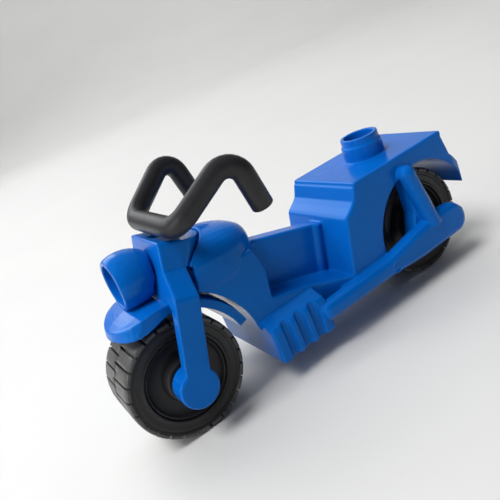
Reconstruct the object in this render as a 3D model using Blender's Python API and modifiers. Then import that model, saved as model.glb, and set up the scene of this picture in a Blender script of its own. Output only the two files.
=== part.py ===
"""Toy motorcycle of moulded plastic for building-brick figures.

Two glued body halves carry a stud plate, a rear wheel and a raked fork that
turns on a pin. The fork is two halves too and holds the front wheel, the
headlight cup and the bent-tube handlebar.

Frame: metres, +X towards the front wheel, +Y the rider's left, +Z up, the
origin on the ground under the middle of the toy. Lengths below are in
millimetres. Body outlines are measured forward from the rear axle, and fork
outlines in the fork's own frame: its origin is the front axle and its Z is
the raked steering axis.
"""

import math

import bmesh
import bpy
from mathutils import Matrix, Vector

MM = 0.001

# --- driving dimensions, millimetres ---
WHEELBASE = 69.6
TYRE_RADIUS = 13.3
TYRE_HALF_WIDTH = 7.5
TAIL_RADIUS = 17.3         # outside of the rear mudguard, about the rear axle
TAIL_OVERHANG = 16.5       # its lower edge, behind the rear axle
OVERALL_LENGTH = WHEELBASE + TYRE_RADIUS + TAIL_OVERHANG
REAR_X = TAIL_OVERHANG - OVERALL_LENGTH / 2
FRONT_X = REAR_X + WHEELBASE
AXLE_Z = TYRE_RADIUS
TILT = 16.5                # degrees the fork leans back
RAKE = math.radians(TILT)

GAP = 0.3                  # clearance between touching pieces
SEAM = 0.03                # half the seam between two moulded halves
AXLE_RADIUS = 1.0
RIM_RADIUS = 9.1
HUB_RADIUS = 4.6
HUB_HALF_WIDTH = 8.4

ARCH_RADIUS = 15.3         # wheel arch in the luggage box
FENDER_INNER = 15.3
FENDER_OUTER = 17.2
FENDER_HALF_WIDTH = 9.0
FENDER_FRONT = 61.5         # degrees around the front axle, level ahead is 0
FENDER_REAR = 164.5
FRONT_WELL_RADIUS = 18.4   # body front, clear of the turning fender

BOX_HALF_WIDTH = 12.1
BOX_TOP = 32.8
LID_THICKNESS = 0.8
LID_GAP = 0.06
FRAME_HALF_WIDTH = 9.2
SPINE_HALF_WIDTH = 2.4
BELLY_FRONT = 50.7
BELLY_Z = 5.8
SILL_Z = 8.2
SEAT_SLOPE = 0.281         # ledge and spine both rise towards the tank
LEDGE_AT_AXLE = 6.1
SPINE_AT_AXLE = 18.36

ENGINE_REAR = 36.0
ENGINE_HALF_WIDTH = 13.2
RIDGES = 4

STUD_X = 3.4
STUD_COLLAR_RADIUS = 5.05
STUD_COLLAR_HEIGHT = 3.7
STUD_RADIUS = 4.675
STUD_HEIGHT = 5.65
STUD_BORE_RADIUS = 3.7
STUD_BORE_DEPTH = 5.2

CROWN_TOP = 29.3           # along the steering axis from the front axle
CROWN_LEAN = 0.6           # the crown sits this far behind the legs
LEG_HALF_DEPTH = 2.6
CROWN_DISC_RADIUS = 9.3
FORK_OUTER = 14.0
FORK_INNER = 11.4
CAP_RADIUS = 4.35
CAP_INNER = 9.0
STEER_LUG_Z = 25.2         # middle of the body's steering lug
STEER_LUG_HALF = 1.1
STEER_PIN_RADIUS = 0.7

LAMP_MOUTH_RADIUS = 4.55
LAMP_DEPTH = 5.0
LAMP_NOD = -3.0            # degrees the mouth looks down
LAMP_PLACE = (9.89, 0.0, 21.06)

BAR_RADIUS = 2.3
BAR_BASE = (-0.8, 12.6, 31.92)
BAR_APEX = (-12.2, 16.5, 45.0)
BAR_END = (-18.1, 16.1, 33.4)

BLUE = ("blue_plastic", (0.006, 0.085, 0.62), 0.22)
BLACK = ("black_plastic", (0.018, 0.018, 0.02), 0.38)
RUBBER = ("black_rubber", (0.014, 0.014, 0.015), 0.6)
STEEL = ("steel", (0.55, 0.55, 0.56), 0.3)


def clear_scene():
    for obj in list(bpy.data.objects):
        bpy.data.objects.remove(obj, do_unlink=True)


def new_collection(name):
    collection = bpy.data.collections.new(name)
    bpy.context.scene.collection.children.link(collection)
    return collection


def principled(name, colour, roughness):
    material = bpy.data.materials.new(name)
    material.use_nodes = True
    shader = material.node_tree.nodes["Principled BSDF"]
    shader.inputs["Base Color"].default_value = (*colour, 1.0)
    shader.inputs["Roughness"].default_value = roughness
    shader.inputs["Metallic"].default_value = 1.0 if name == "steel" else 0.0
    return material


clear_scene()
PARTS = new_collection("toy_motorcycle")
FORMS = new_collection("forms_and_cutters")
MATERIALS = {spec[0]: principled(*spec) for spec in (BLUE, BLACK, RUBBER, STEEL)}


def empty(name, location, rotation=(0.0, 0.0, 0.0)):
    obj = bpy.data.objects.new(name, None)
    obj.location = [MM * value for value in location]
    obj.rotation_euler = rotation
    PARTS.objects.link(obj)
    return obj


CHASSIS = empty("chassis_frame", (REAR_X, 0.0, 0.0))
FORK = empty("fork_frame", (FRONT_X, 0.0, AXLE_Z), (0.0, -RAKE, 0.0))
REAR_WHEEL = empty("rear_wheel_frame", (REAR_X, 0.0, AXLE_Z))
FRONT_WHEEL = empty("front_wheel_frame", (FRONT_X, 0.0, AXLE_Z))


# --- shape helpers: each gives an object in its parent's frame ---

def tidy_mesh(mesh):
    """Weld loose caps, merge flat triangles into one face, face outwards."""
    work = bmesh.new()
    work.from_mesh(mesh)
    bmesh.ops.remove_doubles(work, verts=work.verts, dist=1e-6)
    bmesh.ops.dissolve_limit(work, angle_limit=0.005, verts=work.verts, edges=work.edges)
    bmesh.ops.recalc_face_normals(work, faces=work.faces)
    work.to_mesh(mesh)
    work.free()


def triangulated(mesh):
    work = bmesh.new()
    work.from_mesh(mesh)
    bmesh.ops.triangulate(work, faces=work.faces)
    work.to_mesh(mesh)
    work.free()


def form(name, mesh, parent):
    """A construction shape: it is cut or joined, and is not a part."""
    obj = bpy.data.objects.new(name, mesh)
    obj.parent = parent
    obj.hide_render = True
    obj.display_type = "WIRE"
    FORMS.objects.link(obj)
    return obj


def part(name, mesh, parent, spec, location=(0.0, 0.0, 0.0)):
    obj = bpy.data.objects.new(name, mesh)
    obj.parent = parent
    obj.location = [MM * value for value in location]
    obj.data.materials.append(MATERIALS[spec[0]])
    PARTS.objects.link(obj)
    return obj


# the plane of an outline, as a turn of the curve's own XY plane
SIDE_VIEW = Matrix(((1, 0, 0, 0), (0, 0, -1, 0), (0, 1, 0, 0), (0, 0, 0, 1)))
FRONT_VIEW = Matrix(((0, 0, 1, 0), (1, 0, 0, 0), (0, 1, 0, 0), (0, 0, 0, 1)))
TOP_VIEW = Matrix.Identity(4)


def slab_mesh(name, outline, low, high, view):
    """A flat outline given thickness from low to high across its plane."""
    curve = bpy.data.curves.new(name, "CURVE")
    curve.dimensions = "2D"
    curve.fill_mode = "BOTH"
    curve.extrude = MM * (high - low) / 2
    spline = curve.splines.new("POLY")
    spline.points.add(len(outline) - 1)
    for point, (across, up) in zip(spline.points, outline):
        point.co = (MM * across, MM * up, 0.0, 1.0)
    spline.use_cyclic_u = True
    guide = bpy.data.objects.new(name, curve)
    FORMS.objects.link(guide)
    evaluated = guide.evaluated_get(bpy.context.evaluated_depsgraph_get())
    mesh = bpy.data.meshes.new_from_object(evaluated)
    bpy.data.objects.remove(guide, do_unlink=True)
    middle = MM * (low + high) / 2
    if view is SIDE_VIEW:
        middle = -middle
    mesh.transform(view @ Matrix.Translation((0.0, 0.0, middle)))
    tidy_mesh(mesh)
    return mesh


def slab(name, outline, low, high, view, parent, bevel=0.0):
    obj = form(name, slab_mesh(name, outline, low, high, view), parent)
    if bevel:
        round_edges(obj, bevel)
    return obj


def hull_mesh(name, points):
    work = bmesh.new()
    for point in points:
        work.verts.new([MM * value for value in point])
    bmesh.ops.convex_hull(work, input=work.verts)
    bmesh.ops.recalc_face_normals(work, faces=work.faces)
    mesh = bpy.data.meshes.new(name)
    work.to_mesh(mesh)
    work.free()
    return mesh


def rod_mesh(name, start, end, radius, sides=24):
    """A round bar between two points."""
    start, end = Vector(start) * MM, Vector(end) * MM
    turn = Vector((0, 0, 1)).rotation_difference(end - start).to_matrix().to_4x4()
    place = Matrix.Translation((start + end) / 2) @ turn
    work = bmesh.new()
    bmesh.ops.create_cone(
        work, cap_ends=True, segments=sides, radius1=MM * radius, radius2=MM * radius,
        depth=(end - start).length, matrix=place)
    mesh = bpy.data.meshes.new(name)
    work.to_mesh(mesh)
    work.free()
    return mesh


def ball_mesh(name, centre, radius):
    work = bmesh.new()
    bmesh.ops.create_uvsphere(
        work, u_segments=20, v_segments=12, radius=MM * radius,
        matrix=Matrix.Translation(Vector(centre) * MM))
    mesh = bpy.data.meshes.new(name)
    work.to_mesh(mesh)
    work.free()
    return mesh


def box_mesh(name, low, high):
    low, high = Vector(low) * MM, Vector(high) * MM
    work = bmesh.new()
    bmesh.ops.create_cube(work, size=1.0)
    bmesh.ops.scale(work, verts=work.verts, vec=high - low)
    bmesh.ops.translate(work, verts=work.verts, vec=(low + high) / 2)
    mesh = bpy.data.meshes.new(name)
    work.to_mesh(mesh)
    work.free()
    return mesh


def round_edges(obj, width, segments=2, angle=40.0):
    bevel = obj.modifiers.new("rounded", "BEVEL")
    bevel.width = MM * width
    bevel.segments = segments
    bevel.limit_method = "ANGLE"
    bevel.angle_limit = math.radians(angle)


def boolean(obj, other, operation):
    modifier = obj.modifiers.new(operation.lower() + "_" + other.name, "BOOLEAN")
    modifier.operation = operation
    modifier.object = other


def join(obj, *others):
    for other in others:
        boolean(obj, other, "UNION")


def cut(obj, *others):
    for other in others:
        boolean(obj, other, "DIFFERENCE")


def turned(name, profile, parent, spec, axis="Y", steps=48):
    """A profile of (radius, along) turned about an axis; open ends lie on it."""
    mesh = bpy.data.meshes.new(name)
    work = bmesh.new()
    verts = []
    for radius, along in profile:
        place = (radius, along, 0.0) if axis == "Y" else (radius, 0.0, along)
        verts.append(work.verts.new([MM * value for value in place]))
    closing = verts[1:] + verts[:1] if profile[0][0] > 0 else verts[1:]
    for first, second in zip(verts, closing):
        work.edges.new((first, second))
    work.to_mesh(mesh)
    work.free()
    obj = part(name, mesh, parent, spec)
    screw = obj.modifiers.new("turned", "SCREW")
    screw.axis = axis
    screw.steps = steps
    screw.render_steps = steps
    screw.use_merge_vertices = True
    screw.merge_threshold = 0.00001
    screw.use_normal_flip = axis == "Y"
    return obj


def swept(name, profile, start, end, steps, parent):
    """A closed profile of (radius, across) swept about the Y axis, capped."""
    work = bmesh.new()
    rings = []
    for index in range(steps + 1):
        angle = math.radians(start + (end - start) * index / steps)
        ring = []
        for radius, across in profile:
            place = (radius * math.cos(angle), across, radius * math.sin(angle))
            ring.append(work.verts.new([MM * value for value in place]))
        rings.append(ring)
    for near, far in zip(rings, rings[1:]):
        for index in range(len(profile)):
            after = (index + 1) % len(profile)
            work.faces.new((near[index], near[after], far[after], far[index]))
    work.faces.new(rings[0])
    work.faces.new(rings[-1][::-1])
    bmesh.ops.recalc_face_normals(work, faces=work.faces)
    mesh = bpy.data.meshes.new(name)
    work.to_mesh(mesh)
    work.free()
    return form(name, mesh, parent)


def mirrored_part(name, source, spec):
    """The other half of a moulding: the same shape across the middle plane."""
    evaluated = source.evaluated_get(bpy.context.evaluated_depsgraph_get())
    mesh = bpy.data.meshes.new_from_object(evaluated)
    mesh.materials.clear()
    mesh.transform(Matrix.Scale(-1.0, 4, (0.0, 1.0, 0.0)))
    mesh.flip_normals()
    return part(name, mesh, source.parent, spec)


def arc(centre, radius, start, end, count):
    """Points along an arc, with its angles in degrees from +X towards +Z."""
    points = []
    for index in range(count + 1):
        angle = math.radians(start + (end - start) * index / count)
        points.append((centre[0] + radius * math.cos(angle), centre[1] + radius * math.sin(angle)))
    return points


def seat_line(height, x):
    return height + SEAT_SLOPE * x


# --- body ---

def luggage_form():
    """Box behind the seat, with its flared front and the rear wheel arch."""
    wheel = (0.0, AXLE_Z)
    sill_angle = math.degrees(math.asin((SILL_Z - AXLE_Z) / ARCH_RADIUS))
    top = BOX_TOP - LID_THICKNESS
    outline = [
        (27.4, SILL_Z), (23.1, 26.0), (22.5, 26.7), (20.9, 27.8), (19.7, 28.9), (18.5, top),
        (-10.3, top), (-11.7, 26.0),
    ]
    outline += arc(wheel, ARCH_RADIUS, 128.0, sill_angle, 22)
    return slab("luggage_form", outline, -BOX_HALF_WIDTH, BOX_HALF_WIDTH, SIDE_VIEW, CHASSIS, 0.5)


def tail_form():
    """Rear mudguard: a strip around the wheel behind the box, rounded in plan."""
    wheel = (0.0, AXLE_Z)
    outline = arc(wheel, TAIL_RADIUS, 118.0, 163.0, 9)
    outline += arc(wheel, ARCH_RADIUS, 166.0, 118.0, 9)
    half = BOX_HALF_WIDTH - 0.05
    tail = slab("tail_form", outline, -half, half, SIDE_VIEW, CHASSIS)
    plan = [
        (-5.0, half + 0.1), (-11.6, half + 0.1), (-14.1, 11.2), (-15.6, 9.8), (-16.5, 7.8),
        (-17.1, 4.2), (-17.3, 0.0),
    ]
    plan += [(x, -across) for x, across in reversed(plan[:-1])]
    footprint = slab("tail_footprint", plan, 5.0, 35.0, TOP_VIEW, CHASSIS)
    boolean(tail, footprint, "INTERSECT")
    round_edges(tail, 0.35)
    return tail


def frame_form():
    """Lower body under the tank and the foot ledges."""
    front_axle = (WHEELBASE, AXLE_Z)
    outline = [(BELLY_FRONT, BELLY_Z), (BELLY_FRONT, 13.8)]
    outline += arc(front_axle, FENDER_OUTER, 177.0, 112.0, 12)
    outline += [
        (60.0, 31.0), (45.6, 31.0), (44.4, 25.4), (45.6, seat_line(LEDGE_AT_AXLE, 45.6)),
        (22.0, seat_line(LEDGE_AT_AXLE, 22.0)), (22.0, SILL_Z), (ENGINE_REAR, SILL_Z),
        (ENGINE_REAR, BELLY_Z),
    ]
    return slab(
        "frame_form", outline, -FRAME_HALF_WIDTH, FRAME_HALF_WIDTH, SIDE_VIEW, CHASSIS, 0.4)


def ledge_flare_form():
    """The foot ledges widen from the frame to the luggage box."""
    points = []
    for side in (-1, 1):
        for x, y in ((35.5, FRAME_HALF_WIDTH - 0.2), (26.2, BOX_HALF_WIDTH - 0.1), (22.0, 11.0)):
            points.append((x, side * y, SILL_Z + 0.1))
            points.append((x, side * y, seat_line(LEDGE_AT_AXLE, x) - 0.05))
    return form("ledge_flare_form", hull_mesh("ledge_flare_form", points), CHASSIS)


def spine_form():
    """Narrow seat spine that a figure straddles."""
    outline = [
        (21.0, 12.0), (47.0, 16.0), (47.0, seat_line(SPINE_AT_AXLE, 47.0)),
        (21.0, seat_line(SPINE_AT_AXLE, 21.0)),
    ]
    return slab(
        "spine_form", outline, -SPINE_HALF_WIDTH, SPINE_HALF_WIDTH, SIDE_VIEW, CHASSIS, 0.5)


def pillar_form(side):
    """Round post that ends the spine just before the luggage box."""
    mesh = rod_mesh(
        "pillar_form", (28.0, side * 1.5, 13.0), (24.9, side * 1.5, 25.1), 1.55, 16)
    return form("pillar_form", mesh, CHASSIS)


def tank_form():
    """Teardrop tank: round sections whose size follows its length."""
    rear, widest, front = 42.3, 52.5, 62.5
    stations, sides = 14, 32
    work = bmesh.new()
    rings = []
    for index in range(1, stations + 1):
        x = rear + (front - rear) * (index / stations) ** 1.5
        swell = math.sqrt(max(0.0, 1 - ((widest - x) / (widest - rear)) ** 2)) if x < widest else 1.0
        half_width = 9.8 * swell ** 0.85 - 0.006 * max(0.0, x - widest) ** 2
        top = 33.0 + (5.6 + 0.06 * (x - widest)) * swell ** 0.9
        bottom = 29.5 - 5.4 * swell + 0.018 * max(0.0, x - 54.0) ** 2
        middle, half_height = (top + bottom) / 2, (top - bottom) / 2
        ring = []
        for step in range(sides):
            angle = 2 * math.pi * step / sides
            across, up = math.cos(angle), math.sin(angle)
            power = 0.72
            y = half_width * math.copysign(abs(across) ** power, across)
            z = middle + half_height * math.copysign(abs(up) ** power, up)
            ring.append(work.verts.new((MM * x, MM * y, MM * z)))
        rings.append(ring)
    for near, far in zip(rings, rings[1:]):
        for step in range(sides):
            after = (step + 1) % sides
            work.faces.new((near[step], near[after], far[after], far[step]))
    tip = work.verts.new((MM * rear, 0.0, MM * 31.0))
    for step in range(sides):
        work.faces.new((tip, rings[0][(step + 1) % sides], rings[0][step]))
    work.faces.new(rings[-1])
    bmesh.ops.triangulate(work, faces=work.faces)
    bmesh.ops.recalc_face_normals(work, faces=work.faces)
    mesh = bpy.data.meshes.new("tank_form")
    work.to_mesh(mesh)
    work.free()
    return form("tank_form", mesh, CHASSIS)


def engine_form():
    """Engine block: round-topped upright ridges down each side."""
    half = ENGINE_HALF_WIDTH
    low = BELLY_Z - 0.15
    section = [
        (-half, low), (half, low), (half, 13.4), (half - 0.5, 14.3), (9.0, 16.0),
        (-9.0, 16.0), (0.5 - half, 14.3), (-half, 13.4),
    ]
    front, rear = BELLY_FRONT + 0.1, ENGINE_REAR - 0.2
    block = slab("engine_form", section, rear, front, FRONT_VIEW, CHASSIS, 0.6)
    pitch = (front - rear) / RIDGES
    for side in (-1, 1):
        for index in range(1, RIDGES):
            x = rear + pitch * index
            low = (x, side * (half + 0.1), BELLY_Z - 2)
            high = (x, side * (half + 0.1), 18.0)
            groove = form("engine_groove", rod_mesh("engine_groove", low, high, 1.25, 12), CHASSIS)
            cut(block, groove)
    return block


def exhaust_form(side):
    """Exhaust pipe that swells into a silencer behind the rear wheel."""
    outline = [
        (38.0, 8.6), (38.0, 12.7), (17.0, 13.1), (8.0, 14.9), (-2.6, 16.2), (-6.6, 15.9),
        (-8.9, 13.4), (-9.2, 10.4), (-7.4, 8.0), (7.0, 7.8), (17.0, 8.5),
    ]
    low, high = sorted((side * 10.9, side * 14.8))
    return slab("exhaust_form", outline, low, high, SIDE_VIEW, CHASSIS, 1.4)


def web_form(side):
    """Plate behind the rear strut: it carries the rear axle."""
    outline = [(4.6, 29.5), (0.9, 29.5), (-2.4, 11.0), (6.8, 11.0), (4.4, 18.5)]
    low, high = sorted((side * 8.6, side * 12.3))
    return slab("web_form", outline, low, high, SIDE_VIEW, CHASSIS)


def strut_forms(side):
    """Round rear strut with a domed top, outside the web."""
    top, foot = (4.3, side * 13.4, 28.4), (0.8, side * 13.4, 13.4)
    rod = form("strut_form", rod_mesh("strut_form", foot, top, 2.05, 20), CHASSIS)
    dome = form("strut_dome", ball_mesh("strut_dome", top, 2.1), CHASSIS)
    return rod, dome


def steering_lug_form():
    """Flat lug from the tank that the fork's crown turns on."""
    outline = [(-12.0, -2.4), (0.0, -1.4)]
    outline += arc((0.0, 0.0), 1.4, -72.0, 72.0, 8)
    outline += [(0.0, 1.4), (-12.0, 2.4)]
    low, high = STEER_LUG_Z - STEER_LUG_HALF, STEER_LUG_Z + STEER_LUG_HALF
    return slab("steering_lug", outline, low, high, TOP_VIEW, FORK)


def body_form():
    """The whole body before it is split on its middle plane."""
    body = frame_form()
    join(body, luggage_form(), tail_form(), ledge_flare_form(), spine_form())
    for side in (-1, 1):
        join(body, pillar_form(side), web_form(side), exhaust_form(side), *strut_forms(side))
    join(body, engine_form(), tank_form())
    well = form(
        "steering_well", rod_mesh("steering_well", (0, 0, 23.2), (0, 0, 45), 9.75, 48), FORK)
    fender_well = form(
        "fender_well", rod_mesh("fender_well", (0, -25, 0), (0, 25, 0), FRONT_WELL_RADIUS, 64), FORK)
    shoulder_side = form(
        "shoulder_side", box_mesh("shoulder_side", (-4.6, -25.0, 5.0), (20.0, 25.0, 23.3)), FORK)
    crown_side = form(
        "crown_side", box_mesh("crown_side", (-3.5, -25.0, 23.0), (20.0, 25.0, 45.0)), FORK)
    cut(body, well, fender_well, shoulder_side, crown_side)
    join(body, steering_lug_form())
    pin_hole = form(
        "pin_hole", rod_mesh("pin_hole", (0, 0, 15), (0, 0, 40), STEER_PIN_RADIUS + 0.25, 20), FORK)
    cut(body, pin_hole)
    return body


def body_halves():
    body = body_form()
    body_cavity = slab(
        "tank_cavity", [(46.6, 14.5), (49.5, 14.5), (53.5, 27.0), (53.5, 34.5), (47.5, 34.5)],
        -7.2, 7.2, SIDE_VIEW, CHASSIS)
    axle_hole = form(
        "rear_axle_hole",
        rod_mesh("rear_axle_hole", (0, -12.6, AXLE_Z), (0, 12.6, AXLE_Z), AXLE_RADIUS + 0.2, 20),
        CHASSIS)
    right = part(
        "body_right", box_mesh("body_right", (-25, -20, 0), (75, -SEAM, 45)), CHASSIS, BLUE)
    boolean(right, body, "INTERSECT")
    cut(right, body_cavity, axle_hole)
    mirrored_part("body_left", right, BLUE)


def stud_plate():
    """Lid of the luggage box, with its hollow stepped stud."""
    top, low = BOX_TOP, BOX_TOP - LID_THICKNESS + LID_GAP
    outline = [(18.4, low), (18.0, top), (-10.6, top), (-10.4, low)]
    mesh = slab_mesh("stud_plate", outline, -BOX_HALF_WIDTH + 0.05, BOX_HALF_WIDTH - 0.05, SIDE_VIEW)
    plate = part("stud_plate", mesh, CHASSIS, BLUE)
    round_edges(plate, 0.3)
    for name, radius, height in (
            ("stud_collar", STUD_COLLAR_RADIUS, STUD_COLLAR_HEIGHT),
            ("stud_ring", STUD_RADIUS, STUD_HEIGHT)):
        rise = form(
            name, rod_mesh(name, (STUD_X, 0, top - 0.5), (STUD_X, 0, top + height), radius, 48),
            CHASSIS)
        join(plate, rise)
    bore_low = top + STUD_HEIGHT - STUD_BORE_DEPTH
    bore = form(
        "stud_bore",
        rod_mesh("stud_bore", (STUD_X, 0, bore_low), (STUD_X, 0, top + 9), STUD_BORE_RADIUS, 48),
        CHASSIS)
    cut(plate, bore)


# --- fork, drawn with the front axle at its origin ---

def fork_section():
    """Front view of crown, shoulders and legs: (across, up) points."""
    half = [
        (8.2, CROWN_TOP), (8.8, 23.4), (FORK_OUTER, 18.9), (FORK_OUTER, 0.0),
        (FORK_INNER, 0.0), (FORK_INNER, 16.2), (9.0, 17.4), (7.0, 16.6),
    ]
    return half + [(-across, up) for across, up in reversed(half)]


def fender_form():
    """Front mudguard: a domed strip over the wheel."""
    edge = FENDER_HALF_WIDTH
    profile = [
        (FENDER_INNER, -edge), (FENDER_OUTER, -edge), (17.65, -6.0), (17.8, 0.0), (17.65, 6.0),
        (FENDER_OUTER, edge), (FENDER_INNER, edge),
    ]
    return swept("fender_form", profile, FENDER_FRONT - TILT, FENDER_REAR - TILT, 18, FORK)


def visor_forms():
    """Deeper side lips of the mudguard ahead of the fork."""
    lips = []
    for side in (-1, 1):
        near, far = side * FENDER_HALF_WIDTH, side * (FENDER_HALF_WIDTH - 1.1)
        near -= side * 0.05
        profile = [(13.9, near), (FENDER_OUTER - 0.4, near), (FENDER_OUTER - 0.4, far), (13.9, far)]
        lips.append(swept("visor_lip", profile, 64.0 - TILT, 95.0 - TILT, 6, FORK))
    return lips


def fork_form():
    depth = LEG_HALF_DEPTH
    mesh = slab_mesh("fork_form", fork_section(), -depth, depth, FRONT_VIEW)
    for vert in mesh.vertices:
        height = (vert.co.z / MM - 16.2) / (23.4 - 16.2)
        vert.co.x -= MM * CROWN_LEAN * min(1.0, max(0.0, height))
    triangulated(mesh)
    fork = form("fork_form", mesh, FORK)
    round_edges(fork, 0.6)
    disc = form(
        "crown_disc", rod_mesh("crown_disc", (0, 0, 23.5), (0, 0, 28.9), CROWN_DISC_RADIUS, 48), FORK)
    ahead = form("ahead_of_crown", box_mesh("ahead_of_crown", (0.5, -30, -30), (40, 30, 60)), FORK)
    cut(disc, ahead)
    join(fork, disc)
    for side in (-1, 1):
        start, end = (0, side * CAP_INNER, 0), (0, side * FORK_OUTER, 0)
        cap = form("fork_cap", rod_mesh("fork_cap", start, end, CAP_RADIUS, 32), FORK)
        round_edges(cap, 0.5)
        join(fork, cap)
    join(fork, fender_form(), *visor_forms())
    for side in (-1, 1):
        plan = [
            (16.0, 0.8), (12.75, 1.6), (12.35, 2.6), (11.4, 4.4), (10.3, 6.2), (8.9, 7.8),
            (7.9, 9.4), (16.0, 9.4),
        ]
        corner = [(along, side * across) for along, across in plan]
        cut(fork, slab("visor_corner", corner, 5.0, 30.0, TOP_VIEW, FORK))
    return fork


def fork_cutters():
    """Room for the steering lug and pin, the axle and the handlebar's peg."""
    room = STEER_LUG_HALF + GAP
    lug_room = slab(
        "lug_room",
        [(-14.0, -5.4), (0.6, -2.0), (1.6, -1.2), (1.6, 1.2), (0.6, 2.0), (-14.0, 5.4)],
        STEER_LUG_Z - room, STEER_LUG_Z + room, TOP_VIEW, FORK)
    pin_room = form(
        "pin_room", rod_mesh("pin_room", (0, 0, 21.2), (0, 0, 28.5), STEER_PIN_RADIUS + 0.2, 20), FORK)
    axle_room = form(
        "front_axle_hole", rod_mesh("front_axle_hole", (0, -12.9, 0), (0, 12.9, 0), AXLE_RADIUS + 0.2, 20),
        FORK)
    peg_room = form(
        "peg_room",
        rod_mesh("peg_room", (BAR_BASE[0], 0, 28.7), (BAR_BASE[0], 0, 40), 1.8, 20), FORK)
    tyre_room = form(
        "tyre_room", rod_mesh("tyre_room", (0, -8.0, 0), (0, 8.0, 0), FENDER_INNER, 48), FORK)
    return lug_room, pin_room, axle_room, peg_room, tyre_room


def fork_halves():
    fork = fork_form()
    cutters = fork_cutters()
    right = part(
        "fork_right", box_mesh("fork_right", (-25, -20, -10), (25, -SEAM, 45)), FORK, BLUE)
    boolean(right, fork, "INTERSECT")
    cut(right, *cutters)
    mirrored_part("fork_left", right, BLUE)


def steering_pin():
    mesh = rod_mesh("steering_pin", (0, 0, 21.5), (0, 0, 28.2), STEER_PIN_RADIUS, 20)
    part("steering_pin", mesh, FORK, STEEL)


def headlight_cup():
    """Open cup with a tapered mouth; its back is cut flat to the crown."""
    profile = [
        (0.0, -10.0), (4.2, -8.6), (5.6, -6.6), (6.2, -4.0), (6.1, -1.7), (5.6, -0.2), (5.4, 0.0),
        (LAMP_MOUTH_RADIUS + 0.15, 0.0), (LAMP_MOUTH_RADIUS, -0.15),
        (LAMP_MOUTH_RADIUS - 0.4, -LAMP_DEPTH), (0.0, -LAMP_DEPTH),
    ]
    cup = turned("headlight_cup", profile, FORK, BLUE, "Z", 40)
    cup.location = [MM * value for value in LAMP_PLACE]
    cup.rotation_euler = (0.0, math.radians(90.0 + TILT + LAMP_NOD), 0.0)
    leg_face, crown_face = LEG_HALF_DEPTH + GAP, LEG_HALF_DEPTH - CROWN_LEAN + GAP
    outline = [
        (-20.0, 0.0), (leg_face, 0.0), (leg_face, 16.2), (crown_face, 23.4), (crown_face, 40.0),
        (-20.0, 40.0),
    ]
    behind = slab("behind_lamp", outline, -20.0, 20.0, SIDE_VIEW, FORK)
    over_fender = form(
        "over_fender", rod_mesh("over_fender", (0, -20, 0), (0, 20, 0), 18.1, 64), FORK)
    cut(cup, behind, over_fender)


def handlebar():
    """Bent tube: base bar across the crown, up to two peaks, down to the grips."""
    corners = []
    for side in (-1, 1):
        run = [BAR_BASE, BAR_APEX, BAR_END]
        points = [Vector((x, side * y, z)) for x, y, z in run]
        corners = points[::-1] if side < 0 else corners + points
    route = filleted(corners, (5.5, 4.2, 4.2, 5.5))
    curve = bpy.data.curves.new("handlebar", "CURVE")
    curve.dimensions = "3D"
    curve.bevel_depth = MM * BAR_RADIUS
    curve.bevel_resolution = 4
    curve.use_fill_caps = True
    spline = curve.splines.new("POLY")
    spline.points.add(len(route) - 1)
    for point, place in zip(spline.points, route):
        point.co = (*(place * MM), 1.0)
    guide = bpy.data.objects.new("handlebar_route", curve)
    FORMS.objects.link(guide)
    evaluated = guide.evaluated_get(bpy.context.evaluated_depsgraph_get())
    mesh = bpy.data.meshes.new_from_object(evaluated)
    bpy.data.objects.remove(guide, do_unlink=True)
    work = bmesh.new()
    work.from_mesh(mesh)
    bmesh.ops.remove_doubles(work, verts=work.verts, dist=1e-6)
    bmesh.ops.recalc_face_normals(work, faces=work.faces)
    work.to_mesh(mesh)
    work.free()
    bar = part("handlebar", mesh, FORK, BLACK)
    peg = form(
        "bar_peg", rod_mesh("bar_peg", (BAR_BASE[0], 0, 29.1), (BAR_BASE[0], 0, 31.5), 1.5, 20), FORK)
    join(bar, peg)


def filleted(corners, radii):
    """A route through corners whose inner ones are rounded; ends stay put."""
    order = [1, 2, 3, 4]
    route = [corners[0]]
    for index, reach in zip(order, (radii[1], radii[0], radii[3], radii[2])):
        corner = corners[index]
        before = (corners[index - 1] - corner).normalized()
        after = (corners[index + 1] - corner).normalized()
        start, end = corner + before * reach, corner + after * reach
        for step in range(7):
            share = step / 6
            route.append(
                start * (1 - share) ** 2 + corner * 2 * share * (1 - share) + end * share ** 2)
    route.append(corners[-1])
    return route


# --- wheels ---

def wheel(prefix, frame):
    rim_profile = [
        (AXLE_RADIUS + 0.25, -HUB_HALF_WIDTH), (HUB_RADIUS, -HUB_HALF_WIDTH), (HUB_RADIUS, -6.0),
        (7.9, -6.0), (8.3, -6.9), (RIM_RADIUS, -6.9), (RIM_RADIUS, 6.9), (8.3, 6.9), (7.9, 6.0),
        (HUB_RADIUS, 6.0), (HUB_RADIUS, HUB_HALF_WIDTH), (AXLE_RADIUS + 0.25, HUB_HALF_WIDTH),
    ]
    turned(prefix + "_rim", rim_profile, frame, BLACK, "Y", 36)
    inner = RIM_RADIUS + GAP
    outer, half = TYRE_RADIUS, TYRE_HALF_WIDTH
    tyre_profile = [
        (inner, -half + 0.5), (inner + 0.4, -half), (outer - 1.4, -half), (outer - 0.35, -half + 0.8),
        (outer, -half + 1.9), (outer, half - 1.9), (outer - 0.35, half - 0.8), (outer - 1.4, half),
        (inner + 0.4, half), (inner, half - 0.5),
    ]
    turned(prefix + "_tyre", tyre_profile, frame, RUBBER, "Y", 48)


def axle(name, frame, half_length):
    mesh = rod_mesh(name, (0, -half_length, 0), (0, half_length, 0), AXLE_RADIUS, 20)
    part(name, mesh, frame, STEEL)


def shade_round_parts():
    for obj in PARTS.objects:
        if obj.type == "MESH":
            obj.data.shade_smooth()
            obj.data.set_sharp_from_angle(angle=math.radians(35.0))


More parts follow.
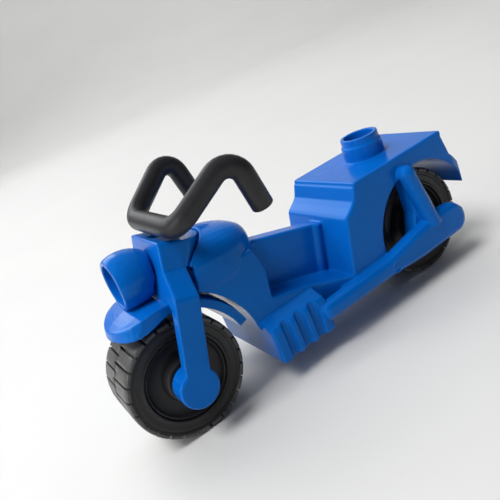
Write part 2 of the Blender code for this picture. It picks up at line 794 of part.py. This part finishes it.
body_halves()
stud_plate()
fork_halves()
steering_pin()
headlight_cup()
handlebar()
wheel("rear", REAR_WHEEL)
wheel("front", FRONT_WHEEL)
axle("rear_axle", REAR_WHEEL, 12.3)
axle("front_axle", FORK, 12.6)
shade_round_parts()
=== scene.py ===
"""Look of the moulded plastic toy motorcycle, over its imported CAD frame."""

import math

import bmesh
import bpy
from mathutils import Matrix, Vector


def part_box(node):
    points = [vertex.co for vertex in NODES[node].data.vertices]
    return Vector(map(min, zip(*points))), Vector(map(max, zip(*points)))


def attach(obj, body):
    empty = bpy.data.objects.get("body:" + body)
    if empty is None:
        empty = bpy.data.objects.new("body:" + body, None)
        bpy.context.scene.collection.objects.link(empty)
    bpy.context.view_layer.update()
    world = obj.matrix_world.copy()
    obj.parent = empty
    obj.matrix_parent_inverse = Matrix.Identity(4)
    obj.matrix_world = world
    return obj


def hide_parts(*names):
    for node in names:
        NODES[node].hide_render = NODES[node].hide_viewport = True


MM = 0.001

# --- millimetres, in the fork's own frame unless a comment says otherwise ---
TREAD_RADIUS = 13.3
CARCASS_RADIUS = 12.05     # where the lugs root in the tyre
BLOCKS = 25                # tread blocks in each of the two rows
FENDER_CREST = 17.8        # top of the front mudguard, from the axle, on the middle plane
FENDER_FALL = 0.0072       # how much lower it gets with the square of the distance outwards
LIP_TOP = 15.4             # inner face of the mudguard, where its plain lips are folded up to
CROWN_BASE = 23.4          # height where the straight crown starts
CROWN_HALF_WIDTH = 8.8
LAMP_PLACE = (9.89, 0.0, 21.06)
LAMP_TURN = 103.5          # degrees from the fork's axis to the lamp's own
LAMP_OVER_FENDER = 18.1    # nearest the lamp comes to the front axle
LID_TOP = 32.8             # height over the ground
LID_UNDERLAP = 0.75        # how far the lid's sides reach down over the box
BAR_BASE = (-0.8, 12.6, 31.92)
BAR_APEX = (-12.2, 16.5, 45.0)
BAR_END = (-18.1, 16.1, 33.4)
BAR_RADIUS = 2.31


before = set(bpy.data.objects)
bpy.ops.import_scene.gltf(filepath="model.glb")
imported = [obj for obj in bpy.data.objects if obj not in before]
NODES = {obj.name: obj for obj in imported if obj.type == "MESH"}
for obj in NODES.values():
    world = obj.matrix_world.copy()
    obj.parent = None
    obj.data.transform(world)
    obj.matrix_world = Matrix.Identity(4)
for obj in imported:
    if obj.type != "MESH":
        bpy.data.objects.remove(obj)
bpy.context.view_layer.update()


def centre_of(node):
    low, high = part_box(node)
    return (Vector(low) + Vector(high)) / 2


FRONT_AXLE = centre_of("front_rim")
REAR_AXLE = centre_of("rear_rim")
RAKE = math.radians(16.5)
FORK = Matrix.Translation(FRONT_AXLE) @ Matrix.Rotation(-RAKE, 4, "Y")


# --- materials ---

def node(tree, kind, **inputs):
    """A shader node; each input takes a value or another node's socket."""
    made = tree.nodes.new("ShaderNode" + kind)
    for name, value in inputs.items():
        key = name.replace("_", " ")
        if isinstance(value, bpy.types.NodeSocket):
            tree.links.new(value, made.inputs[key])
        else:
            made.inputs[key].default_value = value
    return made


def grain(tree, coords, scale, detail=4.0, roughness=0.55):
    made = node(tree, "TexNoise", Vector=coords, Scale=scale, Detail=detail, Roughness=roughness)
    return made.outputs["Fac"]


def remap(tree, value, low, high, to_low, to_high):
    made = node(tree, "MapRange")
    made.inputs["From Min"].default_value = low
    made.inputs["From Max"].default_value = high
    made.inputs["To Min"].default_value = to_low
    made.inputs["To Max"].default_value = to_high
    tree.links.new(value, made.inputs["Value"])
    return made.outputs["Result"]


def mixed(tree, factor, first, second):
    """Colour between the first and the second, by the factor."""
    made = tree.nodes.new("ShaderNodeMix")
    made.data_type = "RGBA"
    sockets = [item for item in made.inputs if item.type == "RGBA"]
    tree.links.new(factor, made.inputs[0])
    for socket, value in zip(sockets, (first, second)):
        if isinstance(value, bpy.types.NodeSocket):
            tree.links.new(value, socket)
        else:
            socket.default_value = (*value, 1.0)
    return [item for item in made.outputs if item.type == "RGBA"][0]


def bump(tree, height, strength, distance, below=None):
    made = node(tree, "Bump", Strength=strength, Distance=distance, Height=height)
    if below is not None:
        tree.links.new(below, made.inputs["Normal"])
    return made.outputs["Normal"]


def start(name):
    """A new node material, with its tree, its shader and object coordinates."""
    material = bpy.data.materials.new(name)
    material.use_nodes = True
    tree = material.node_tree
    shader = tree.nodes["Principled BSDF"]
    coords = tree.nodes.new("ShaderNodeTexCoord").outputs["Object"]
    return material, tree, shader, coords


def scratches(tree, coords, turn, density):
    """Thin hairlines: a noise drawn out along one direction."""
    placed = node(tree, "Mapping", Vector=coords)
    placed.inputs["Rotation"].default_value = turn
    placed.inputs["Scale"].default_value = (45.0, 1900.0, 1900.0)
    lines = grain(tree, placed.outputs["Vector"], 1.0, 2.0, 0.4)
    return remap(tree, lines, density, density + 0.03, 0.0, 1.0)


def seam_line(tree, coords, base):
    """Faint line where two moulded halves meet, ahead of the box lid."""
    lid_end, ahead_of_lid = -0.0140, -0.0135
    apart = node(tree, "SeparateXYZ", Vector=coords)
    size = node(tree, "Math", Value=apart.outputs["Y"])
    size.operation = "ABSOLUTE"
    line = remap(tree, size.outputs[0], 0.00004, 0.00010, 0.45, 0.0)
    ahead = remap(tree, apart.outputs["X"], lid_end, ahead_of_lid, 0.0, 1.0)
    both = node(tree, "Math", Value=line)
    both.operation = "MULTIPLY"
    tree.links.new(ahead, both.inputs[1])
    return mixed(tree, both.outputs[0], base, (0.0, 0.02, 0.13))


def gloss_plastic(name, colour, pale, roughness, marks=1.0, tint=(1.0, 1.0, 1.0), seam=False):
    """Moulded plastic: slow sheen changes, fine texture, hairlines, worn edges.

    Pale is the colour of a worn edge, and marks scales the wear and the hairlines.
    """
    material, tree, shader, coords = start(name)
    slow = grain(tree, coords, 38.0)
    fine = grain(tree, coords, 520.0)
    tiny = grain(tree, coords, 4200.0, 2.0)
    pointiness = tree.nodes.new("ShaderNodeNewGeometry").outputs["Pointiness"]
    edge = remap(tree, pointiness, 0.515, 0.56, 0.0, 1.0)
    broken = remap(tree, fine, 0.42, 0.62, 0.0, 1.0)
    worn = node(tree, "Math", Value=edge)
    worn.operation = "MULTIPLY"
    tree.links.new(broken, worn.inputs[1])
    patchy = remap(tree, slow, 0.3, 0.7, 0.0, 1.0)
    deep = tuple(channel * 0.86 for channel in colour)
    base = mixed(tree, patchy, deep, colour)
    if seam:
        base = seam_line(tree, coords, base)
    wear = remap(tree, worn.outputs[0], 0.0, 1.0, 0.0, 0.32 * marks)
    tree.links.new(mixed(tree, wear, base, pale), shader.inputs["Base Color"])
    first = scratches(tree, coords, (0.3, 0.2, 0.5), 0.66)
    second = scratches(tree, coords, (1.1, 0.9, -0.7), 0.67)
    both = node(tree, "Math", Value=first)
    both.operation = "MAXIMUM"
    tree.links.new(second, both.inputs[1])
    sheen = remap(tree, slow, 0.35, 0.65, roughness * 0.8, roughness * 1.25)
    lifted = node(tree, "Math", Value=sheen)
    lifted.operation = "ADD"
    rub = remap(tree, both.outputs[0], 0.0, 1.0, 0.0, 0.16 * marks)
    tree.links.new(rub, lifted.inputs[1])
    tree.links.new(lifted.outputs[0], shader.inputs["Roughness"])
    skin = bump(tree, tiny, 0.05, 0.00004)
    skin = bump(tree, slow, 0.10, 0.0006, skin)
    tree.links.new(bump(tree, both.outputs[0], -0.05 * marks, 0.00003, skin), shader.inputs["Normal"])
    shader.inputs["IOR"].default_value = 1.5
    shader.inputs["Specular Tint"].default_value = (*tint, 1.0)
    shader.inputs["Specular IOR Level"].default_value = 0.32
    return material


def tyre_rubber(name, dark, dust_and_painted_light, low, high):
    """Black rubber with dust in its grain; its roughness runs from low to high. Raised colours, as the
    tread's, are painted light on the rubber.
    """
    material, tree, shader, coords = start(name)
    slow = grain(tree, coords, 60.0)
    fine = grain(tree, coords, 900.0)
    tiny = grain(tree, coords, 3600.0, 3.0)
    dust = remap(tree, fine, 0.48, 0.7, 0.0, 0.3)
    # dust in the grain; with the tread's raised colours this mix also carries painted light
    tree.links.new(mixed(tree, dust, dark, dust_and_painted_light), shader.inputs["Base Color"])
    tree.links.new(remap(tree, slow, 0.3, 0.7, low, high), shader.inputs["Roughness"])
    skin = bump(tree, tiny, 0.25, 0.00005)
    tree.links.new(bump(tree, fine, 0.12, 0.0001, skin), shader.inputs["Normal"])
    return material


def pin_steel(name):
    """Drawn steel with fine lines along the pin."""
    material, tree, shader, coords = start(name)
    placed = node(tree, "Mapping", Vector=coords)
    placed.inputs["Scale"].default_value = (2500.0, 300.0, 2500.0)
    lines = grain(tree, placed.outputs["Vector"], 1.0)
    shader.inputs["Metallic"].default_value = 1.0
    base = mixed(tree, lines, (0.42, 0.42, 0.44), (0.62, 0.62, 0.63))
    tree.links.new(base, shader.inputs["Base Color"])
    tree.links.new(remap(tree, lines, 0.3, 0.7, 0.25, 0.42), shader.inputs["Roughness"])
    tree.links.new(bump(tree, lines, 0.1, 0.00003), shader.inputs["Normal"])
    return material


GLOSS_TINT = (0.25, 0.72, 1.0)
BLUE = gloss_plastic(
    "moulded_blue", (0.001, 0.122, 0.52), (0.06, 0.25, 0.66), 0.2, 0.35, GLOSS_TINT, True)
BLACK = gloss_plastic("satin_black", (0.016, 0.016, 0.018), (0.06, 0.06, 0.065), 0.4, 0.6)
RUBBER = tyre_rubber("tyre_rubber", (0.006, 0.006, 0.007), (0.02, 0.02, 0.019), 0.42, 0.55)
# same rubber as the sidewalls, painted much lighter: painted light for the light falling on the tread
# from the front left
TREAD = tyre_rubber("tread_rubber_painted_light", (0.05, 0.049, 0.048), (0.13, 0.127, 0.12), 0.3, 0.42)
STEEL = pin_steel("pin_steel")


# --- shape helpers ---

def finish_cad(name, material):
    """A CAD node keeps its own shape and takes a finish."""
    slots = NODES[name].data.materials
    slots.clear()
    slots.append(material)


def softened(obj, voxel, rounds):
    """Rounds every edge as a mould does: a fine even skin, then some smoothing."""
    remesh = obj.modifiers.new("skin", "REMESH")
    remesh.mode = "VOXEL"
    remesh.voxel_size = MM * voxel
    remesh.use_smooth_shade = True
    smooth = obj.modifiers.new("soft_edges", "SMOOTH")
    smooth.factor = 0.5
    smooth.iterations = rounds


def shell(name, halves, body, voxel, rounds, lid=None, extra=None):
    """One skin over two moulded halves, and over the lid pressed on them.

    The faces along the seam go and its rims are welded. The lid's sides are
    drawn down over the joint. Extra is a function that adds to the mesh.
    """
    seam = 0.06 * MM
    work = bmesh.new()
    for half in halves:
        work.from_mesh(NODES[half].data)
    bmesh.ops.remove_doubles(work, verts=work.verts, dist=1e-6)
    inside = [face for face in work.faces if all(abs(vert.co.y) < seam for vert in face.verts)]
    bmesh.ops.delete(work, geom=inside, context="FACES")
    for vert in work.verts:
        if abs(vert.co.y) < seam:
            vert.co.y = 0.0
    bmesh.ops.remove_doubles(work, verts=work.verts, dist=5e-6)
    replaced = list(halves)
    if lid:
        cover = bmesh.new()
        cover.from_mesh(NODES[lid].data)
        for vert in cover.verts:
            if vert.co.z < (LID_TOP - 0.4) * MM:
                vert.co.z -= LID_UNDERLAP * MM
        lowered = bpy.data.meshes.new(lid)
        cover.to_mesh(lowered)
        cover.free()
        work.from_mesh(lowered)
        replaced.append(lid)
    if extra:
        extra(work)
    obj = new_piece(name, work, BLUE, body, replaced)
    softened(obj, voxel, rounds)


def fender_top(along, across):
    """Height of the front mudguard's outer face."""
    return math.sqrt((FENDER_CREST - FENDER_FALL * across ** 2) ** 2 - along ** 2)


def trimmed_fork(work):
    """Folds the mudguard's plain lips away and brings the crown's back into line."""
    inverse = FORK.inverted()
    for vert in work.verts:
        place = (inverse @ vert.co) / MM
        reach = math.hypot(place.x, place.z)
        on_lip = 7.7 < abs(place.y) < 9.0 and 13.0 < reach < 15.25
        if on_lip and place.x > 2.5 and place.z > 4.0:
            place = Vector((place.x * LIP_TOP / reach, place.y, place.z * LIP_TOP / reach))
            vert.co = FORK @ (place * MM)
        side = CROWN_HALF_WIDTH - max(0.0, place.z - CROWN_BASE) * 0.1
        if place.z > CROWN_BASE - 0.2 and abs(place.y) > side:
            vert.co.y = math.copysign(side * MM, place.y)


def visor(work):
    """Rounded front of the mudguard, with a skirt that deepens at the corners."""
    trimmed_fork(work)
    thickness, middle = 2.4, 4.0
    # forward, outward, and how far the skirt drops below the mudguard's face
    half = [
        (0.8, 9.0, 1.8), (2.4, 9.0, 2.1), (4.0, 9.02, 2.7), (5.6, 9.05, 3.2), (7.1, 9.02, 3.4),
        (8.5, 8.8, 3.3), (9.8, 8.15, 3.0), (10.8, 7.1, 2.7), (11.6, 5.7, 2.4), (12.2, 4.2, 2.1),
        (12.6, 2.7, 1.95), (12.8, 1.3, 1.9), (12.87, 0.0, 1.9),
    ]
    outline = half + [(along, -across, drop) for along, across, drop in reversed(half[:-1])]
    rings = []
    for index, (along, across, drop) in enumerate(outline):
        before, after = outline[max(0, index - 1)], outline[min(len(outline) - 1, index + 1)]
        run = Vector((after[0] - before[0], after[1] - before[1])).normalized()
        inward = Vector((run.y, -run.x)) * thickness
        if inward.dot(Vector((middle - along, -across))) < 0:
            inward = -inward
        high = fender_top(along, across)
        low = high - drop
        deep = (along + inward.x, across + inward.y)
        deep_high = fender_top(*deep)
        corners = [
            (along, across, high), (along, across, low), (*deep, max(low + 0.9, deep_high - 2.0)),
            (*deep, deep_high)]
        rings.append([work.verts.new(FORK @ (Vector(corner) * MM)) for corner in corners])
    made = []
    for near, far in zip(rings, rings[1:]):
        for index in range(4):
            after = (index + 1) % 4
            made.append(work.faces.new((near[index], near[after], far[after], far[index])))
    made.append(work.faces.new(rings[0]))
    made.append(work.faces.new(rings[-1][::-1]))
    bmesh.ops.recalc_face_normals(work, faces=made)


def new_piece(name, work, material, body, replaced):
    """A visible piece that rides a body and stands for the CAD nodes it replaces."""
    mesh = bpy.data.meshes.new(name)
    work.to_mesh(mesh)
    work.free()
    mesh.materials.append(material)
    obj = bpy.data.objects.new(name, mesh)
    bpy.context.scene.collection.objects.link(obj)
    mesh.shade_smooth()
    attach(obj, body)
    if replaced:
        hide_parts(*replaced)
    return obj


def lathe(work, profile, centre, steps):
    """Adds a closed (radius, across) profile turned about the Y axis."""
    rings = []
    for step in range(steps):
        angle = 2 * math.pi * step / steps
        ring = []
        for radius, across in profile:
            place = Vector((radius * math.cos(angle), across, radius * math.sin(angle)))
            ring.append(work.verts.new(centre + place * MM))
        rings.append(ring)
    for near, far in zip(rings, rings[1:] + rings[:1]):
        for index in range(len(profile)):
            after = (index + 1) % len(profile)
            work.faces.new((near[index], far[index], far[after], near[after]))


def mirrored(half):
    """The other side of a profile, in order, so the whole is closed."""
    return half + [(radius, -across) for radius, across in reversed(half)]


def bevel(obj, width, segments=2, angle=35.0):
    made = obj.modifiers.new("rounded", "BEVEL")
    made.width = MM * width
    made.segments = segments
    made.limit_method = "ANGLE"
    made.angle_limit = math.radians(angle)
    made.harden_normals = False


def headlight():
    """Turned cup with a slimmer mouth; its back sits flat against the crown."""
    profile = [
        (0.02, -10.0), (3.0, -9.4), (4.2, -8.6), (5.0, -7.6), (5.6, -6.5), (6.0, -5.3), (6.2, -4.0),
        (6.22, -2.8), (6.1, -1.7), (5.85, -0.8), (5.6, -0.2), (5.4, 0.0), (4.75, 0.0), (4.6, -0.15),
        (4.45, -1.5), (4.3, -3.2), (4.15, -4.8), (3.9, -5.0), (0.02, -5.0),
    ]
    place = Matrix.Translation(LAMP_PLACE) @ Matrix.Rotation(math.radians(LAMP_TURN), 4, "Y")
    leg_face, crown_back = 2.9, 0.6
    leg_top = 16.2
    steps = 96
    work = bmesh.new()
    rings = []
    for step in range(steps):
        angle = 2 * math.pi * step / steps
        ring = []
        for radius, along in profile:
            spot = place @ Vector((radius * math.cos(angle), radius * math.sin(angle), along))
            height = min(1.0, max(0.0, (spot.z - leg_top) / (CROWN_BASE - leg_top)))
            spot.x = max(spot.x, leg_face - crown_back * height)
            stretch = max(1.0, LAMP_OVER_FENDER / math.hypot(spot.x, spot.z))
            spot.x, spot.z = spot.x * stretch, spot.z * stretch
            ring.append(work.verts.new(FORK @ (spot * MM)))
        rings.append(ring)
    for near, far in zip(rings, rings[1:] + rings[:1]):
        for index in range(len(profile) - 1):
            work.faces.new((near[index], near[index + 1], far[index + 1], far[index]))
    bmesh.ops.remove_doubles(work, verts=work.verts, dist=3e-5)
    bmesh.ops.recalc_face_normals(work, faces=work.faces)
    obj = new_piece("headlight_shell", work, BLUE, "fork", ["headlight_cup"])
    softened(obj, 0.13, 4)


def exhaust_mark(side):
    """Small raised ring moulded on the exhaust's outer face."""
    work = bmesh.new()
    ring = [(1.15, 14.6), (1.15, 14.88), (1.2, 14.92), (1.38, 14.92), (1.43, 14.88), (1.43, 14.6)]
    ahead, below = 16.0, 2.9
    centre = REAR_AXLE + Vector((ahead, 0.0, -below)) * MM
    lathe(work, [(radius, side * across) for radius, across in ring], centre, 48)
    bmesh.ops.recalc_face_normals(work, faces=work.faces)
    name = "exhaust_mark_left" if side > 0 else "exhaust_mark_right"
    new_piece(name, work, BLUE, "chassis", None)


# --- wheels ---

# half sections, from the middle plane outwards and back: (radius, across)
SIDEWALL = [
    (12.5, 6.7), (12.4, 7.05), (12.2, 7.2), (12.0, 7.18), (11.92, 7.1), (11.8, 7.12),
    (11.7, 6.98), (11.55, 7.0), (11.4, 7.12), (11.2, 7.1), (10.7, 6.95), (10.2, 6.85),
    (10.0, 6.9), (9.85, 7.08), (9.6, 7.18), (9.35, 7.1), (9.2, 6.8), (9.15, 5.5),
]
RIM = [
    (9.1, 6.5), (9.0, 6.75), (8.8, 6.8), (8.6, 6.6), (8.45, 5.9), (8.2, 5.6), (6.4, 5.35),
    (5.4, 5.5), (4.95, 5.9), (4.8, 7.9), (4.6, 8.2), (4.3, 8.3), (1.4, 8.3), (1.3, 8.2),
]


def tread_block(work, centre, side, angle, pitch):
    """One lug: its top wraps the tyre and folds down over the shoulder."""
    groove, slant = 0.043, 0.012     # radians
    inner, notch = 0.12, 1.15
    shoulder_starts, root = 6.9, 6.85
    shares = (0.0, 0.22, 0.42, 0.5, 0.58, 0.78, 1.0)
    inner_edge = (inner, inner, inner, inner + notch, inner, inner, inner)
    shoulder = [
        (1.9, TREAD_RADIUS), (4.9, TREAD_RADIUS), (6.2, 13.28), (6.95, 13.2), (7.4, 12.95),
        (7.48, 12.6), (7.42, 12.35),
    ]
    tops, lows = [], []
    for share, edge in zip(shares, inner_edge):
        turn = angle + (pitch - groove) * (share - 0.5)
        across = [(edge, TREAD_RADIUS)] + shoulder
        top, low = [], []
        for place, radius in across:
            lean = slant * place / 7.0
            for ring, reach in ((top, radius), (low, min(radius - 0.3, CARCASS_RADIUS))):
                spot = Vector((
                    reach * math.cos(turn + lean), side * place, reach * math.sin(turn + lean)))
                if ring is low and place > shoulder_starts:
                    spot.y = side * root
                ring.append(work.verts.new(centre + spot * MM))
        tops.append(top)
        lows.append(low)
    columns, rows = len(shares), len(tops[0])
    for column in range(columns - 1):
        for row in range(rows - 1):
            work.faces.new((
                tops[column][row], tops[column][row + 1],
                tops[column + 1][row + 1], tops[column + 1][row]))
            work.faces.new((
                lows[column][row], lows[column + 1][row],
                lows[column + 1][row + 1], lows[column][row + 1]))
        for row, flip in ((0, False), (rows - 1, True)):
            face = (tops[column][row], tops[column + 1][row], lows[column + 1][row], lows[column][row])
            work.faces.new(face[::-1] if flip else face)
    for column, flip in ((0, True), (columns - 1, False)):
        for row in range(rows - 1):
            face = (tops[column][row], tops[column][row + 1], lows[column][row + 1], lows[column][row])
            work.faces.new(face[::-1] if flip else face)


def wheel(prefix, centre):
    """Carcass, two staggered rows of lugs and a dished rim."""
    work = bmesh.new()
    lathe(work, mirrored(SIDEWALL), centre, 150)
    bmesh.ops.recalc_face_normals(work, faces=work.faces)
    new_piece(prefix + "_tyre_carcass", work, RUBBER, prefix + "_wheel", [prefix + "_tyre"])
    work = bmesh.new()
    pitch = 2 * math.pi / BLOCKS
    for side in (-1, 1):
        for index in range(BLOCKS):
            tread_block(work, centre, side, pitch * (index + 0.25 * side), pitch)
    bmesh.ops.recalc_face_normals(work, faces=work.faces)
    tread = new_piece(prefix + "_tyre_tread", work, TREAD, prefix + "_wheel", None)
    bevel(tread, 0.12)
    work = bmesh.new()
    lathe(work, mirrored(RIM), centre, 120)
    bmesh.ops.recalc_face_normals(work, faces=work.faces)
    new_piece(prefix + "_wheel_rim", work, BLACK, prefix + "_wheel", [prefix + "_rim"])


# --- handlebar ---

def arc_route(corners, radii, steps=9):
    """The route through corners with true round bends of the given radii."""
    route = [corners[0]]
    for index in range(1, len(corners) - 1):
        corner = corners[index]
        back = (corners[index - 1] - corner).normalized()
        ahead = (corners[index + 1] - corner).normalized()
        half = back.angle(ahead) / 2
        reach = radii[index - 1] / math.tan(half)
        middle = corner + (back + ahead).normalized() * radii[index - 1] / math.sin(half)
        first = (corner + back * reach - middle).normalized()
        last = (corner + ahead * reach - middle).normalized()
        for step in range(steps + 1):
            route.append(middle + first.slerp(last, step / steps) * radii[index - 1])
    route.append(corners[-1])
    return route


def handlebar():
    """Bent tube with its ends cut flat and slightly rounded."""
    right = [Vector((x, -y, z)) for x, y, z in (BAR_END, BAR_APEX, BAR_BASE)]
    left = [Vector(place) for place in (BAR_BASE, BAR_APEX, BAR_END)]
    places = arc_route(right + left, (3.7, 4.8, 4.8, 3.7))
    curve = bpy.data.curves.new("bent_handlebar", "CURVE")
    curve.dimensions = "3D"
    curve.bevel_depth = MM * BAR_RADIUS
    curve.bevel_resolution = 10
    curve.use_fill_caps = True
    tips = []
    for tip, inward in ((places[0], places[1]), (places[-1], places[-2])):
        direction = (inward - tip).normalized()
        tips.append([(tip, 0.88), (tip + direction * 0.14, 0.96), (tip + direction * 0.34, 1.0)])
    path = tips[0] + [(place, 1.0) for place in places[1:-1]] + tips[1][::-1]
    spline = curve.splines.new("POLY")
    spline.points.add(len(path) - 1)
    for point, (place, width) in zip(spline.points, path):
        point.co = (*(FORK @ (place * MM)), 1.0)
        point.radius = width
    spline.use_smooth = True
    curve.materials.append(BLACK)
    obj = bpy.data.objects.new("bent_handlebar", curve)
    bpy.context.scene.collection.objects.link(obj)
    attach(obj, "fork")
    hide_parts("handlebar")


# --- stage ---

def floor():
    """Pale paper: flat under the toy, curving up into a wall behind it."""
    heading = math.radians(-113.4)
    flat, bend, height, half_width = 0.9, 0.9, 3.0, 3.5
    steps = 24
    away = Vector((math.cos(heading), math.sin(heading), 0.0))
    across = Vector((-away.y, away.x, 0.0))
    run = [(-2.5, 0.0), (flat, 0.0)]
    for step in range(1, steps + 1):
        angle = math.radians(90 * step / steps)
        run.append((flat + bend * math.sin(angle), bend - bend * math.cos(angle)))
    run.append((flat + bend, height))
    work = bmesh.new()
    lines = []
    for distance, rise in run:
        middle = away * distance + Vector((0.0, 0.0, rise))
        ends = (-half_width, half_width)
        lines.append([work.verts.new(middle + across * end) for end in ends])
    for near, far in zip(lines, lines[1:]):
        work.faces.new((near[0], near[1], far[1], far[0]))
    mesh = bpy.data.meshes.new("floor")
    work.to_mesh(mesh)
    work.free()
    mesh.shade_smooth()
    obj = bpy.data.objects.new("floor", mesh)
    bpy.context.scene.collection.objects.link(obj)
    material, tree, shader, coords = start("pale_floor")
    soft = grain(tree, coords, 9.0, 5.0)
    base = mixed(tree, soft, (0.60, 0.597, 0.588), (0.66, 0.656, 0.645))
    tree.links.new(base, shader.inputs["Base Color"])
    shader.inputs["Roughness"].default_value = 0.5
    mesh.materials.append(material)


def area_light(name, place, target, size, power, colour=(1.0, 1.0, 1.0), glossy=True):
    """A soft rectangle aimed at a point; with glossy off it makes no reflection."""
    data = bpy.data.lights.new(name, "AREA")
    data.shape = "RECTANGLE"
    data.size, data.size_y = size
    data.energy = power
    data.color = colour
    obj = bpy.data.objects.new(name, data)
    obj.location = place
    obj.visible_glossy = glossy
    obj.rotation_euler = (Vector(target) - Vector(place)).to_track_quat("-Z", "Y").to_euler()
    bpy.context.scene.collection.objects.link(obj)


def lights():
    """Window behind, key over the front wheel, and a sky that is dim on the near side."""
    area_light("window", (0.25, -0.75, 0.62), (0, 0, 0.02), (0.9, 0.55), 4.0, (0.97, 0.985, 1.0))
    area_light("key", (0.52, 0.16, 1.05), (0, 0, 0.02), (0.45, 0.45), 11.5, glossy=False)
    area_light("front_panel", (0.9, 0.05, 0.28), (0, 0, 0.02), (0.5, 0.4), 2.4)
    area_light("wall_light", (-0.4, -0.9, 1.6), (-0.72, -1.67, 0.4), (1.2, 1.2), 13.0, glossy=False)
    world = bpy.data.worlds.new("studio")
    world.use_nodes = True
    tree = world.node_tree
    sky = tree.nodes["Background"]
    sky.inputs["Color"].default_value = (0.95, 0.97, 1.0, 1.0)
    direction = tree.nodes.new("ShaderNodeTexCoord").outputs["Generated"]
    toward = node(tree, "VectorMath")
    toward.operation = "DOT_PRODUCT"
    tree.links.new(direction, toward.inputs[0])
    toward.inputs[1].default_value = (0.42, -0.80, 0.42)
    strength = remap(tree, toward.outputs["Value"], -0.6, 0.8, 0.05, 0.5)
    tree.links.new(strength, sky.inputs["Strength"])
    bpy.context.scene.world = world
    bpy.context.scene.view_settings.view_transform = "Standard"


def camera():
    """The viewpoint: high on the rider's left, ahead of the toy, rolled."""
    from_rear_axle = (0.09172, 0.11465, 0.07252)     # the ground below that axle, in metres
    yaw, pitch, roll = (math.radians(angle) for angle in (-113.39, -19.83, -23.39))
    forward = Vector((
        math.cos(pitch) * math.cos(yaw), math.cos(pitch) * math.sin(yaw), math.sin(pitch)))
    level = forward.cross(Vector((0, 0, 1))).normalized()
    lift = level.cross(forward)
    right = level * math.cos(roll) + lift * math.sin(roll)
    up = lift * math.cos(roll) - level * math.sin(roll)
    data = bpy.data.cameras.new("camera")
    data.lens = 42.14
    data.sensor_width = 36.0
    data.clip_start = 0.005
    obj = bpy.data.objects.new("camera", data)
    turn = Matrix((right, up, -forward)).transposed().to_4x4()
    place = Vector(from_rear_axle) + Vector((REAR_AXLE.x, 0.0, 0.0))
    obj.matrix_world = Matrix.Translation(place) @ turn
    bpy.context.scene.collection.objects.link(obj)
    bpy.context.scene.camera = obj


shell("body_shell", ("body_left", "body_right"), "chassis", 0.2, 5, "stud_plate")
shell("fork_shell", ("fork_left", "fork_right"), "fork", 0.16, 6, extra=visor)
headlight()
for mark_side in (-1, 1):
    exhaust_mark(mark_side)
for cad_name in ("rear_axle", "front_axle", "steering_pin"):
    finish_cad(cad_name, STEEL)
wheel("front", FRONT_AXLE)
wheel("rear", REAR_AXLE)
handlebar()
floor()
lights()
camera()
